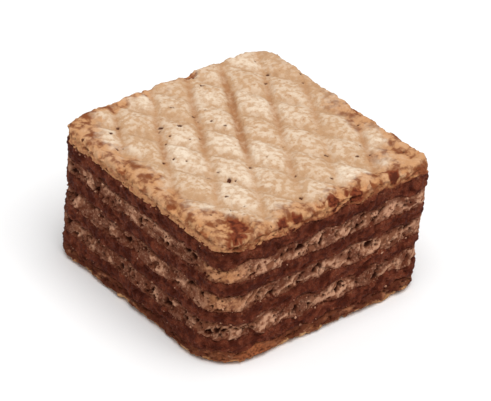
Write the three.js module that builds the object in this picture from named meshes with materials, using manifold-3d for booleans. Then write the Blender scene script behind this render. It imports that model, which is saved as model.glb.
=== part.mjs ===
// A chocolate wafer cube: five baked wafer sheets stacked with four layers of cocoa cream,
// saw-cut to a bite-size block. The top sheet carries the lattice of its baking plate.
// Millimetres, +Z up, the origin under the middle of the block, on the face that it rests on.
import * as THREE from 'three';
import Module from 'manifold-3d';
import { mergeVertices } from 'three/addons/utils/BufferGeometryUtils.js';

// The stack: thicknesses of its layers, and the side of a sheet.
const SHEET_SIDE = 23.9;
const OUTER_WAFER = 1.42;
const INNER_WAFER = 1.72;
const CREAM = 1.46;
const CREAM_COUNT = 4;

// Corner radii of the block in plan, on its top and on its bottom sheet,
// for the front (-X -Y), right (+X -Y), back (+X +Y) and left (-X +Y) corner.
const TOP_RADII = [2.0, 1.4, 2.4, 2.6];
const BOTTOM_RADII = [4.2, 2.4, 3.2, 2.2];

// How far the block departs from a true prism.
const SHEET_SLIP = 0.18;
const RIM_WOBBLE = 0.13;
const RIM_WAVES = [5, 11, 17];
const RIM_CRUMB = 0.06;
const SHEET_RIPPLE = 0.22;
const EDGE_ROUNDING = 0.45;
const CREAM_BULGE = 0.22;
const CREAM_SMEAR = 0.13;
const WAFER_RECESS = 0.16;
const CRUMB_DEPTH = 0.42;

// The lattice: two sets of grooves, leaning to either side of the Y axis.
const GROOVE_LEAN = THREE.MathUtils.degToRad(30);
const GROOVE_PITCH = 3.62;
const GROOVE_FLOOR_SHARE = 0.4;
const GROOVE_SPREAD = 0.12;
const DEEP_GROOVE = { side: -1, phase: 0.09, width: 1.15, depth: 0.46 };
const SHALLOW_GROOVE = { side: 1, phase: 0.7, width: 1.15, depth: 0.32 };

// Chips of crust that broke off the top sheet: their places in plan, and half-sizes.
const CHIPS = [
  { x: -8.9, y: -10.1, size: [1.5, 1.9, 0.6] },
  { x: -4.2, y: -11.9, size: [1.0, 0.7, 0.5] },
  { x: 1.6, y: -11.6, size: [0.9, 0.8, 0.55] },
  { x: 5.4, y: -11.8, size: [0.8, 0.6, 0.45] },
  { x: -11.8, y: 2.5, size: [0.6, 1.0, 0.45] },
  { x: -11.7, y: -4.6, size: [0.6, 0.8, 0.5] },
  { x: 11.8, y: -2.0, size: [0.6, 1.2, 0.5] },
  { x: 2.8, y: 11.7, size: [1.1, 0.6, 0.5] },
];
const CHIP_TILT = 0.6;

// Facets: points round each sheet, and rows up each cut edge.
const RIM_POINTS = 120;
const WAFER_ROWS = 5;
const CREAM_ROWS = 3;

// Each kind of unevenness draws its own repeatable numbers.
const TOPIC = { slip: 1, wobble: 2, rimCrumb: 3, ripple: 4, edgeCrumb: 5, groove: 6, chip: 7 };
const DRAW_WEIGHTS = [78.233, 12.9898, 39.346, 11.135];
const DRAW_STRETCH = 43758.5453;

const wasm = await Module();
wasm.setup();

const crust = new THREE.MeshStandardMaterial({ color: 0xd7b391, roughness: 0.85, metalness: 0 });
const cutWafer = new THREE.MeshStandardMaterial({ color: 0x855a44, roughness: 0.9, metalness: 0 });
const cocoaCream = new THREE.MeshStandardMaterial({ color: 0x50261a, roughness: 0.6, metalness: 0 });

// A repeatable draw from low to high for a topic and up to three whole numbers.
function draw(low, high, ...keys) {
  const angle = keys.reduce((sum, key, order) => sum + DRAW_WEIGHTS[order] * key, 0);
  const tail = Math.sin(angle) * DRAW_STRETCH;
  return low + (high - low) * (tail - Math.floor(tail));
}

// The layers from the bottom up, with the heights of the boundaries between them.
const layerCount = 2 * CREAM_COUNT + 1;
const isCream = (layer) => layer % 2 === 1;
const isOuter = (layer) => layer === 0 || layer === layerCount - 1;
const boundaryHeights = [0];
for (let layer = 0; layer < layerCount; layer += 1) {
  const wafer = isOuter(layer) ? OUTER_WAFER : INNER_WAFER;
  boundaryHeights.push(boundaryHeights[layer] + (isCream(layer) ? CREAM : wafer));
}
const blockHeight = boundaryHeights[layerCount];

// A square with four corner radii, counter-clockwise from the middle of its front side.
function squareOutline(half, radii) {
  const [front, right, back, left] = radii;
  const quarter = Math.PI / 2;
  const outline = new THREE.Shape();
  outline.moveTo(0, -half);
  outline.absarc(half - right, -half + right, right, -quarter, 0);
  outline.absarc(half - back, half - back, back, 0, quarter);
  outline.absarc(-half + left, half - left, left, quarter, 2 * quarter);
  outline.absarc(-half + front, -half + front, front, 2 * quarter, 3 * quarter);
  outline.closePath();
  return outline.getSpacedPoints(RIM_POINTS).slice(0, RIM_POINTS);
}

// Outward directions along a closed outline.
function outwardDirections(points) {
  return points.map((_, index) => {
    const before = points.at(index - 1);
    const after = points[(index + 1) % points.length];
    const along = after.clone().sub(before).normalize();
    return new THREE.Vector2(along.y, -along.x);
  });
}

// How many pitches a plan point lies away from the first groove of a set.
function latticeCount(groove, x, y) {
  const across = groove.side * Math.cos(GROOVE_LEAN) * x + Math.sin(GROOVE_LEAN) * y;
  return (across - groove.phase) / GROOVE_PITCH;
}

// A boundary inside the stack waves with the lattice that is pressed into its sheet.
function rippleHeight(boundary, x, y) {
  const waves = [DEEP_GROOVE, SHALLOW_GROOVE].map((groove, set) => {
    const shift = draw(0, 1, TOPIC.ripple, boundary, set);
    return Math.cos(2 * Math.PI * (latticeCount(groove, x, y) + shift));
  });
  return (SHEET_RIPPLE * (waves[0] + waves[1])) / 2;
}

// How far the rim of a boundary strays from its outline: slow waves and single crumbs.
function rimStray(boundary, index) {
  const round = (2 * Math.PI * index) / RIM_POINTS;
  const waves = RIM_WAVES.map((count, order) => {
    const start = draw(0, 2 * Math.PI, TOPIC.wobble, boundary, order);
    return Math.sin(count * round + start);
  });
  const wobble = waves.reduce((sum, wave) => sum + wave, 0) / waves.length;
  return RIM_WOBBLE * wobble + draw(-RIM_CRUMB, RIM_CRUMB, TOPIC.rimCrumb, boundary, index);
}

// One boundary between layers: its rim, the rim's outward directions, and its middle.
// Both layers that meet there use the same points, so they touch without a gap.
function sheetBoundary(boundary) {
  const height = boundaryHeights[boundary];
  const isFace = boundary === 0 || boundary === layerCount;
  const radii = BOTTOM_RADII.map((radius, corner) => {
    return THREE.MathUtils.lerp(radius, TOP_RADII[corner], height / blockHeight);
  });
  const plan = squareOutline(SHEET_SIDE / 2 - (isFace ? EDGE_ROUNDING : 0), radii);
  const outward = outwardDirections(plan);
  const slip = new THREE.Vector2(
    draw(-SHEET_SLIP, SHEET_SLIP, TOPIC.slip, boundary, 0),
    draw(-SHEET_SLIP, SHEET_SLIP, TOPIC.slip, boundary, 1),
  );
  const rim = plan.map((point, index) => {
    const moved = point.clone().add(slip).addScaledVector(outward[index], rimStray(boundary, index));
    const rise = isFace ? 0 : rippleHeight(boundary, moved.x, moved.y);
    return new THREE.Vector3(moved.x, moved.y, height + rise);
  });
  return { rim, outward, middle: new THREE.Vector3(slip.x, slip.y, height) };
}

// How far a point between the rims stands out: smeared cream swells, porous wafer crumbles.
function edgeRelief(layer, row, rows, index) {
  if (row === 0 || row === rows) {
    return 0;
  }
  const bow = Math.sin((Math.PI * row) / rows);
  if (isCream(layer)) {
    const smear = draw(-CREAM_SMEAR, CREAM_SMEAR, TOPIC.edgeCrumb, layer, row, index);
    return CREAM_BULGE * bow + smear;
  }
  const crumb = CRUMB_DEPTH * draw(0, 1, TOPIC.edgeCrumb, layer, row, index) ** 2;
  return (isOuter(layer) ? EDGE_ROUNDING * bow : WAFER_RECESS * (1 - bow)) - crumb;
}

// One layer as a closed solid: a fan on each broad face and rows of facets up the cut edge.
function layerGeometry(layer, lower, upper) {
  const rows = isCream(layer) ? CREAM_ROWS : WAFER_ROWS;
  const positions = [];
  for (let row = 0; row <= rows; row += 1) {
    for (let index = 0; index < RIM_POINTS; index += 1) {
      const point = lower.rim[index].clone().lerp(upper.rim[index], row / rows);
      const outward = lower.outward[index].clone().lerp(upper.outward[index], row / rows);
      const relief = edgeRelief(layer, row, rows, index);
      positions.push(point.x + relief * outward.x, point.y + relief * outward.y, point.z);
    }
  }
  const lowerMiddle = positions.length / 3;
  const upperMiddle = lowerMiddle + 1;
  positions.push(...lower.middle.toArray(), ...upper.middle.toArray());

  const triangles = [];
  const lastRow = rows * RIM_POINTS;
  for (let index = 0; index < RIM_POINTS; index += 1) {
    const next = (index + 1) % RIM_POINTS;
    for (let here = 0; here < lastRow; here += RIM_POINTS) {
      const above = here + RIM_POINTS;
      triangles.push(here + index, here + next, above + next);
      triangles.push(here + index, above + next, above + index);
    }
    triangles.push(lowerMiddle, next, index);
    triangles.push(upperMiddle, lastRow + index, lastRow + next);
  }
  const geometry = new THREE.BufferGeometry();
  geometry.setAttribute('position', new THREE.Float32BufferAttribute(positions, 3));
  geometry.setIndex(triangles);
  return geometry;
}

// A closed geometry becomes a solid that can be cut, and a cut solid a geometry again.
function toSolid(geometry) {
  const bare = geometry.clone();
  bare.deleteAttribute('normal');
  bare.deleteAttribute('uv');
  const merged = mergeVertices(bare);
  return new wasm.Manifold(new wasm.Mesh({
    numProp: 3,
    vertProperties: new Float32Array(merged.getAttribute('position').array),
    triVerts: new Uint32Array(merged.getIndex().array),
  }));
}

function toGeometry(solid) {
  const mesh = solid.getMesh();
  const geometry = new THREE.BufferGeometry();
  geometry.setAttribute('position', new THREE.Float32BufferAttribute(mesh.vertProperties, 3));
  geometry.setIndex(Array.from(mesh.triVerts));
  return geometry;
}

// A long bar with sloping sides, in the place of one groove of the lattice.
function grooveBar(groove, count) {
  const share = draw(1 - GROOVE_SPREAD, 1 + GROOVE_SPREAD, TOPIC.groove, groove.side, count);
  const depth = groove.depth * share;
  const halfMouth = groove.width / 2;
  const halfFloor = GROOVE_FLOOR_SHARE * halfMouth;
  const halfHead = 2 * halfMouth - halfFloor;
  const profile = new THREE.Shape([
    new THREE.Vector2(-halfFloor, -depth),
    new THREE.Vector2(halfFloor, -depth),
    new THREE.Vector2(halfHead, depth),
    new THREE.Vector2(-halfHead, depth),
  ]);
  const length = 2 * SHEET_SIDE;
  const bar = new THREE.ExtrudeGeometry(profile, { depth: length, bevelEnabled: false });
  bar.translate(0, 0, -length / 2);
  bar.rotateX(Math.PI / 2);
  bar.translate(groove.phase + count * GROOVE_PITCH, 0, blockHeight);
  bar.rotateZ(Math.atan2(Math.sin(GROOVE_LEAN), groove.side * Math.cos(GROOVE_LEAN)));
  return bar;
}

// A ragged lump, in the place of one chip of crust.
function chipLump(chip, order) {
  const lump = new THREE.IcosahedronGeometry(1, 0);
  lump.rotateZ(draw(0, 2 * Math.PI, TOPIC.chip, order, 0));
  lump.rotateX(draw(-CHIP_TILT, CHIP_TILT, TOPIC.chip, order, 1));
  lump.scale(...chip.size);
  lump.translate(chip.x, chip.y, blockHeight);
  return lump;
}

// The top sheet, with its lattice pressed in and its chips broken out.
function latticeGeometry(sheet) {
  const lastCount = Math.ceil(SHEET_SIDE / GROOVE_PITCH);
  const cutters = CHIPS.map(chipLump);
  for (const groove of [DEEP_GROOVE, SHALLOW_GROOVE]) {
    for (let count = -lastCount; count <= lastCount; count += 1) {
      cutters.push(grooveBar(groove, count));
    }
  }
  const solid = cutters.reduce((rest, cutter) => rest.subtract(toSolid(cutter)), toSolid(sheet));
  return toGeometry(solid);
}

function waferMesh(layer, plain) {
  const isTop = layer === layerCount - 1;
  const geometry = isTop ? latticeGeometry(plain) : plain;
  const mesh = new THREE.Mesh(geometry, (isTop ? crust : cutWafer).clone());
  mesh.name = `wafer_${layer / 2 + 1}`;
  return mesh;
}

function creamMesh(layer, plain) {
  const mesh = new THREE.Mesh(plain, cocoaCream.clone());
  mesh.name = `cream_${(layer + 1) / 2}`;
  return mesh;
}

// The stack, with its uneven edges centred over the origin.
const boundaries = boundaryHeights.map((_, boundary) => sheetBoundary(boundary));
const block = new THREE.Group();
for (let layer = 0; layer < layerCount; layer += 1) {
  const plain = layerGeometry(layer, boundaries[layer], boundaries[layer + 1]);
  block.add(isCream(layer) ? creamMesh(layer, plain) : waferMesh(layer, plain));
}
const extent = new THREE.Box3().setFromObject(block);
const centre = extent.getCenter(new THREE.Vector3());
block.position.set(-centre.x, -centre.y, -extent.min.z);

export default block;
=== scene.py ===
# %% [markdown]
# # A chocolate wafer cube
#
# This lesson dresses one bite-size block: five wafer sheets with four layers of cocoa cream between them,
# sawn on all four sides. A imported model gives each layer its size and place. Here every layer is made
# again with what a close look shows: the pressed lattice, the pores, the smears of cream and the crumbs.
# The large shapes are modelled with operators, as by hand. The fine relief is then sculpted by rules,
# because thousands of pores can't be placed one by one.

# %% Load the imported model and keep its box
import math

import bmesh
import bpy
import numpy as np
from mathutils import Euler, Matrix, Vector, noise


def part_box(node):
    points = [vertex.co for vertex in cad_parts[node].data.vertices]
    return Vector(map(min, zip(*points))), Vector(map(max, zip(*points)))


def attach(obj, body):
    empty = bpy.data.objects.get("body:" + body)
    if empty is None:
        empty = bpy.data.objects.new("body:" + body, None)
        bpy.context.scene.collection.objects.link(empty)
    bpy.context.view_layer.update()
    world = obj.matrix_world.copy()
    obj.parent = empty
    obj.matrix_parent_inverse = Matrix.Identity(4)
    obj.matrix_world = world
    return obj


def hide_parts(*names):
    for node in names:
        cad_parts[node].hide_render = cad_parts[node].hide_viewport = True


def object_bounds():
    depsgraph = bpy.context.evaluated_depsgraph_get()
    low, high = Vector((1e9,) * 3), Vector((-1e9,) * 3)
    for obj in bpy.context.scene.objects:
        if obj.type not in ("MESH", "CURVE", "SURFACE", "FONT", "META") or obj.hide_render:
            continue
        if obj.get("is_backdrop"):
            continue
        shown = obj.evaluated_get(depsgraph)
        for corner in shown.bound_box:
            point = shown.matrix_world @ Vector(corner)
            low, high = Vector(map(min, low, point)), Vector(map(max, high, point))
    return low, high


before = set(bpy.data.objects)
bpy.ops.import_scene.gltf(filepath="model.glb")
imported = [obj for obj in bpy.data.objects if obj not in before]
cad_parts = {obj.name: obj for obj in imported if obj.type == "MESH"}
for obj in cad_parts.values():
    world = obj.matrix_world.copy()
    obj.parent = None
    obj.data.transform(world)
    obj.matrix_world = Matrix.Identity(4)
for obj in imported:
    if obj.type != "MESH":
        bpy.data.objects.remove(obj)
cad_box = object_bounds()
MM = 0.001
print("layers in the packed model:", sorted(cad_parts))

# %% [markdown]
# ## The camera
#
# The block lies level and is seen corner first, from well above its top. A wide lens close by would make
# the near corner bulge, so a long lens stands a little more than a quarter of a metre away, which keeps
# the sides nearly parallel. The camera leans a few degrees, so the block seems to lean the other way. It
# is made first, because every later choice is judged through it.

# %% Place the camera
AIM = Vector((0.35, -0.16, 7.16)) * MM
CAMERA_TURN = math.radians(-40.9)
CAMERA_RISE = math.radians(34.05)
CAMERA_ROLL = math.radians(3.3)
CAMERA_DISTANCE = 277.3 * MM
CAMERA_LENS = 225
NEAREST_SEEN = 10 * MM

turned = Euler((math.pi / 2 - CAMERA_RISE, 0, CAMERA_TURN))
back_off = turned.to_matrix() @ Vector((0, 0, CAMERA_DISTANCE))
bpy.ops.object.select_all(action="DESELECT")
bpy.ops.object.camera_add(location=AIM + back_off, rotation=turned)
camera = bpy.context.object
camera.rotation_euler.rotate_axis("Z", CAMERA_ROLL)
camera.data.lens = CAMERA_LENS
camera.data.clip_start = NEAREST_SEEN
bpy.context.scene.camera = camera
print("camera at", [round(place / MM) for place in camera.location], "mm")

# %% [markdown]
# ## Measuring the stack
#
# Nothing in a hand-cut block is true: each sheet has slipped a little. The places could be typed in again,
# but then two lists would have to be kept alike. So the height and the middle of every boundary are read
# from the boxes of the two layers that meet there. From here on, sizes in the arrays are millimetres.

# %% Read the boundaries between the layers
CREAM_COUNT = 4
layers = ["wafer_1"]
for number in range(1, CREAM_COUNT + 1):
    layers += [f"cream_{number}", f"wafer_{number + 1}"]
TOP_LAYER = len(layers) - 1


def at_boundaries(above, below):
    """The mean, at each boundary, of what the layers above and below it give."""
    return (np.vstack([above, below[-1:]]) + np.vstack([above[:1], below])) / 2


lows, highs = np.array([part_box(layer) for layer in layers]).transpose(1, 0, 2) / MM
middles = (lows + highs) / 2
heights = at_boundaries(lows, highs)[:, 2]
centres = at_boundaries(middles, middles)[:, :2]
print("boundary heights:", heights.round(2), "mm")

# %% [markdown]
# ## The outline of a sheet
#
# Every sheet is a square with round corners, rounder low down, where the block is worn. A curve could hold
# that outline, but the relief has questions for it: how far inside it a point lies, which way is out on
# the cut edge, and where a point lies between two heights. Short rules on whole arrays answer them, for
# every piece alike.

# %% Describe the outline
SHEET_SIDE = 23.9
HALF_SIDE = SHEET_SIDE / 2
CORNERS = [(-1, -1), (1, -1), (1, 1), (-1, 1)]
TOP_RADII = [2.0, 1.4, 2.4, 2.6]
BOTTOM_RADII = [4.2, 2.4, 3.2, 2.2]
SHORTEST = 1e-6


def radii_at(height):
    """The four corner radii of the block at a height, in the order of CORNERS."""
    share = height / heights[-1]
    return [low + (high - low) * share for low, high in zip(BOTTOM_RADII, TOP_RADII)]


def past_arc(points, radii):
    """How far each point is past the centre of its corner's arc in x and y, and the radius."""
    x, y = points[:, :2].T
    front, right, back, left = radii
    radius = np.where(y < 0, np.where(x < 0, front, right), np.where(x < 0, left, back))
    return np.abs(points[:, :2].T) - (HALF_SIDE - radius), radius


def depth_inside(points, radii):
    """How far each point lies inside the outline."""
    over, radius = past_arc(points, radii)
    round_part = np.hypot(*np.maximum(over, 0))
    straight_part = np.minimum(np.maximum(*over), 0)
    return radius - round_part - straight_part


def way_out(points, radii):
    """The outward direction of each point on the outline, with no height."""
    over, _ = past_arc(points, radii)
    out = np.sign(points[:, :2].T) * np.maximum(over, 0)
    out /= np.maximum(np.hypot(*out), SHORTEST)
    return np.stack([*out, np.zeros(len(points))], axis=1)


def distance(points, place):
    """How far each point lies from a place, seen from above if the place has no height."""
    return np.linalg.norm(points[:, :len(place)] - place, axis=1)


def share_up(points, low, high):
    """Where each point lies between two heights, from 0 to 1."""
    return np.clip((points[:, 2] - low) / (high - low), 0, 1)


print("corner radii half way up:", np.round(radii_at(heights[-1] / 2), 2), "mm")

# %% [markdown]
# ## How the stack is uneven
#
# Every sheet has the same slanting lattice pressed in, so the boundaries inside the stack rise and fall
# with it, each with its own shift, and the rims stray in slow waves. Fresh random waves would look as
# good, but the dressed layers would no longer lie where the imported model's layers lie. So both follow its
# own rules, with repeatable draws.

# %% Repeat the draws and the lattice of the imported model
GROOVE_LEAN = math.radians(30)
GROOVE_PITCH = 3.62
DEEP_GROOVES = {"side": -1, "phase": 0.09, "width": 0.54, "depth": 0.36}
THIN_GROOVES = {"side": 1, "phase": 0.7, "width": 0.6, "depth": 0.24}
LATTICE = (DEEP_GROOVES, THIN_GROOVES)
DRAW_WEIGHTS = [78.233, 12.9898, 39.346]
DRAW_STRETCH = 43758.5453


def draw(low, high, *keys):
    """A repeatable draw from low to high for a topic and whole numbers."""
    angle = sum(weight * key for weight, key in zip(DRAW_WEIGHTS, keys))
    tail = math.sin(angle) * DRAW_STRETCH
    return low + (high - low) * (tail - math.floor(tail))


def way_across(grooves):
    """The direction across a set of grooves."""
    return np.array([grooves["side"] * math.cos(GROOVE_LEAN), math.sin(GROOVE_LEAN)])


def lattice_count(grooves, points):
    """How many pitches each point lies away from the first groove of a set."""
    return (points[:, :2] @ way_across(grooves) - grooves["phase"]) / GROOVE_PITCH


print("grooves repeat every", GROOVE_PITCH, "mm")

# %% Repeat how each boundary strays
SHEET_RIPPLE = 0.22
RIPPLE_TOPIC = 4
RIM_WOBBLE = 0.13
RIM_WAVES = [5, 11, 17]
WOBBLE_TOPIC = 2


def ripple(boundary, points):
    """How far a boundary rises or falls with the lattice. The two outer faces are level."""
    waves = np.zeros(len(points))
    if boundary in (0, len(layers)):
        return waves
    for order, grooves in enumerate(LATTICE):
        shift = draw(0, 1, RIPPLE_TOPIC, boundary, order)
        waves += np.cos(2 * np.pi * (lattice_count(grooves, points) + shift))
    return SHEET_RIPPLE * waves / len(LATTICE)


def way_round(points):
    """The share of the way round the block from the middle of its front side."""
    x, y = points[:, :2].T
    side = np.where(np.abs(y) >= np.abs(x), np.where(y < 0, 0, 2), np.where(x > 0, 1, 3))
    along = np.choose(side, [x, y, -x, -y]) / SHEET_SIDE
    return np.mod((side + along) / len(CORNERS), 1)


def rim_wobble(boundary, points):
    """How far the rim of a boundary strays outwards."""
    waves = np.zeros(len(points))
    for order, count in enumerate(RIM_WAVES):
        start = draw(0, 2 * math.pi, WOBBLE_TOPIC, boundary, order)
        waves += np.sin(2 * np.pi * count * way_round(points) + start)
    return RIM_WOBBLE * waves / len(RIM_WAVES)


def settle(points, layer):
    """Moves the points of a true slab to that layer's place in the uneven stack."""
    share = share_up(points, heights[layer], heights[layer + 1])
    moved = points.copy()
    for boundary, weight in ((layer, 1 - share), (layer + 1, share)):
        stray = rim_wobble(boundary, points)[:, None] * points[:, :2] / HALF_SIDE
        moved[:, :2] += weight[:, None] * (centres[boundary] + stray)
        moved[:, 2] += weight * ripple(boundary, points)
    return moved


print("rims stray by up to", RIM_WOBBLE, "mm")

# %% [markdown]
# ## Tools for the hand work
#
# An operator acts on whatever is selected, so each piece starts from an empty selection, and its points,
# edges or faces are picked by a test on their place, as a click would do by hand. Fine relief could come
# from a Displace modifier, but here it depends on several values at once, so it is sculpted by moving
# points in code. Helpers hand a mesh's points over as an array, take them back, and keep values for the
# materials.

# %% Selection helpers


def clear_selection():
    """Leaves edit mode and deselects every object."""
    if bpy.context.mode != "OBJECT":
        bpy.ops.object.mode_set(mode="OBJECT")
    bpy.ops.object.select_all(action="DESELECT")


def pick(piece, kind, test):
    """Selects the points, edges or faces of a piece in edit mode that pass a test."""
    bpy.ops.mesh.select_mode(type=kind)
    bpy.ops.mesh.select_all(action="DESELECT")
    shape = bmesh.from_edit_mesh(piece.data)
    parts = {"VERT": shape.verts, "EDGE": shape.edges, "FACE": shape.faces}[kind]
    for part in parts:
        part.select_set(bool(test(part)))
    bmesh.update_edit_mesh(piece.data)


def start_piece(name):
    """Names the new primitive, applies its place and opens it for editing."""
    piece = bpy.context.object
    piece.name = name
    bpy.ops.object.transform_apply(location=True, rotation=True, scale=True)
    bpy.ops.object.mode_set(mode="EDIT")
    return piece


def close_piece(piece):
    """Turns every face outwards, leaves edit mode and shades the piece smooth."""
    bpy.ops.mesh.select_all(action="SELECT")
    bpy.ops.mesh.normals_make_consistent(inside=False)
    bpy.ops.object.mode_set(mode="OBJECT")
    bpy.ops.object.shade_smooth()
    return piece


print("selection helpers ready")

# %% Sculpting helpers


def points_of(piece):
    """The points of a mesh in millimetres, one row each."""
    flat = np.empty(3 * len(piece.data.vertices))
    piece.data.vertices.foreach_get("co", flat)
    return flat.reshape(-1, 3) / MM


def move_points(piece, points):
    """Moves the points of a mesh to these places."""
    piece.data.vertices.foreach_set("co", (points * MM).ravel())
    piece.data.update()


def keep_values(piece, values):
    """Keeps named values, one number for each point of a mesh."""
    for name, numbers in values.items():
        attribute = piece.data.attributes.new(name, "FLOAT", "POINT")
        attribute.data.foreach_set("value", numbers.astype(np.float32))


def fill_in(chosen, numbers):
    """These numbers at the chosen points, and 0 at all others."""
    full = np.zeros(len(chosen))
    full[chosen] = numbers
    return full


def report(piece):
    """Prints how many triangles a finished piece draws."""
    print(piece.name, sum(len(face.vertices) - 2 for face in piece.data.polygons), "triangles")


print("sculpting helpers ready")

# %% [markdown]
# ## Noise for crumbs and pores
#
# Broken wafer is uneven at every scale. Smooth noise gives lumps and smears, and cellular noise, which
# tells how far a point is from the walls between cells, gives the bubbles that steam left in the batter.
# Textures in a material could draw the same patterns, but only as colour. Noise worked out for each point
# moves the mesh as well, so that pores are really deep. It gets a fixed seed first, so every run makes the
# same block.

# %% Noise rules
NOISE_SEED = 7
SEED_STRIDE = Vector((17.31, 5.17, 9.73))
CELL_WARP = 0.35
WARP_FINENESS = 2

noise.seed_set(NOISE_SEED)


def grain(points, size, seed):
    """Smooth noise from about -1 to 1 at each point, with lumps of that size."""
    shift = seed * SEED_STRIDE
    return np.array([noise.noise(Vector(point) + shift) for point in points / size])


def lumps(points, sizes, seed, stride=1):
    """Smooth noise with lumps of several sizes, each size with its own height."""
    sizes = enumerate(sizes.items())
    return sum(height * grain(points, size, seed + stride * order) for order, (size, height) in sizes)


def foam(points, cell, seed):
    """How far each point lies from the walls of its bubble, and one draw for the bubble."""
    shift = seed * SEED_STRIDE
    gaps = np.empty(len(points))
    draws = np.empty(len(points))
    for order, point in enumerate(points / cell):
        place = Vector(point) + shift
        distances, middles = noise.voronoi(place + CELL_WARP * noise.noise_vector(WARP_FINENESS * place))
        gaps[order] = distances[1] - distances[0]
        draws[order] = math.sin(middles[0].dot(SEED_STRIDE)) * DRAW_STRETCH % 1
    return gaps, draws


def ease(low, high, value):
    """A smooth step from 0 to 1 as the value goes from low to high."""
    share = np.clip((value - low) / (high - low), 0, 1)
    return share * share * (3 - 2 * share)


def from_least(least, share):
    """A share from 0 to 1, squeezed to run from a least value to 1."""
    return least + (1 - least) * share


print("noise at one place:", grain(np.ones((1, 3)), 0.7, 1).round(3))

# %% [markdown]
# ## A slab cut through the stack
#
# The inner layers are all thin slabs with round corners, of which only the cut edge shows. A cube with
# beveled edges would have the outline, but too few points to sculpt. So a plane gets its corners rounded
# by beveling its points one by one, its long sides are subdivided, and it is pulled up to its thickness.
# The edge is subdivided into rows, fine enough for pores of half a millimetre, and the hidden broad faces,
# which need no detail, are poked into fans.

# %% Cut a slab
EDGE_STEP = 0.09
SIDE_CUTS = (9, 21)
NEAR_CORNER = 0.99


def divide_rows(piece, height, step):
    """Divides a cut edge of that height into rows."""
    pick(piece, "EDGE", lambda edge: abs(edge.verts[0].co.z - edge.verts[1].co.z) > height / 2)
    bpy.ops.mesh.subdivide(number_cuts=round(height / step) - 1)


def cut_slab(name, low, high):
    """A slab between two heights, finely divided along its cut edge."""
    clear_selection()
    bpy.ops.mesh.primitive_plane_add(size=SHEET_SIDE * MM, location=(0, 0, low * MM))
    slab = start_piece(name)
    near_corner = NEAR_CORNER * HALF_SIDE * MM
    for (side_x, side_y), radius in zip(CORNERS, radii_at((low + high) / 2)):
        pick(slab, "VERT", lambda point: min(point.co.x * side_x, point.co.y * side_y) > near_corner)
        arc_steps = round(radius * math.pi / 2 / EDGE_STEP)
        bpy.ops.mesh.bevel(offset=radius * MM, segments=arc_steps, affect="VERTICES")
    for cuts in SIDE_CUTS:
        pick(slab, "EDGE", lambda edge: edge.calc_length() > 2 * EDGE_STEP * MM)
        bpy.ops.mesh.subdivide(number_cuts=cuts)
    bpy.ops.mesh.select_all(action="SELECT")
    thickness = (high - low) * MM
    bpy.ops.mesh.extrude_region_move(TRANSFORM_OT_translate={"value": (0, 0, thickness)})
    divide_rows(slab, thickness, EDGE_STEP * MM)
    pick(slab, "FACE", lambda face: len(face.verts) > 4)
    bpy.ops.mesh.poke()
    return close_piece(slab)


print("a cut edge has rows about", EDGE_STEP, "mm apart")

# %% [markdown]
# ## The cut wafer sheets
#
# A wafer sheet is two thin skins with a crisp foam between them. The saw opens some bubbles, leaves others
# as pale clumps of crumb, and rubs cocoa over all of it, most along the skins. Holes could be cut one by
# one with Boolean modifiers, but hundreds of them would be slow and too clean. Instead, cellular noise
# says which bubble is open and which is a clump, slow noise where the cocoa lies, and fine noise leaves
# the crumbs. The cocoa coat also carries painted shade, darker low down and on the left side, and it is
# thinnest at the front corner, which keeps a painted highlight. What the material needs to know stays
# with the points.

# %% How the saw opens the foam
BUBBLE = np.array([0.85, 0.85, 1.0])
BUBBLE_LEAN = (-0.45, 0.45, 0)
BUBBLE_WALL = (0.08, 0.4)
OPEN_DRAWS = (0.25, 0.35)
SMALL_BUBBLE = np.array([0.36, 0.36, 0.42])
SMALL_WALL = (0.1, 0.4)
SMALL_OPEN_DRAWS = (0.55, 0.7)
SMALL_HOLLOW = 0.5
CLUMP_DRAWS = (0.35, 0.95)
HIGHLIGHT_WALL = (0.05, 0.25)
WALL_HIGHLIGHT = 0.6
SKIN_SHARES = (0.02, 0.2)


def opened_foam(points, share, seed):
    """How hollow and how pale the foam of a cut edge is, from 0 to 1. The paleness includes a painted
    highlight on the walls between bubbles.
    """
    between_skins = ease(*SKIN_SHARES, share) * ease(*SKIN_SHARES, 1 - share)
    gaps, draws = foam(points + np.outer(points[:, 2], BUBBLE_LEAN), BUBBLE, seed)
    large = ease(*BUBBLE_WALL, gaps) * (1 - ease(*OPEN_DRAWS, draws))
    small_gaps, small_draws = foam(points, SMALL_BUBBLE, seed + 1)
    small = SMALL_HOLLOW * ease(*SMALL_WALL, small_gaps) * ease(*SMALL_OPEN_DRAWS, small_draws)
    # A painted highlight makes the walls between the bubbles pale.
    walls = 1 - ease(*HIGHLIGHT_WALL, gaps)
    pale_and_highlight = np.maximum(ease(*CLUMP_DRAWS, draws), WALL_HIGHLIGHT * walls)
    return np.maximum(large, small) * between_skins, pale_and_highlight


print("bubbles are about", BUBBLE.mean(), "mm across")

# %% How the saw rubs cocoa over a cut edge, with painted shade low down and on the left
RUB_RAGGED = {0.7: 0.2, 0.25: 0.14}
RUB_SMEAR = (0.0, 0.26)
RUB_PATCH = 1.5
RUB_PATCH_RIM = (-0.04, 0.24)
RUB_FRAY = 0.3
PAINTED_SHADE_TO_LEFT = 0.24
PAINTED_SHADE_TO_BOTTOM = 0.42
FRONT_CORNER = (-HALF_SIDE, -HALF_SIDE)
FRONT_CORNER_REACH = 2.4


def near_front_corner(points):
    """How near each point is to the upright edge at the front corner, from 0 to 1."""
    return np.exp(-(distance(points, FRONT_CORNER) / FRONT_CORNER_REACH) ** 2)


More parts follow.
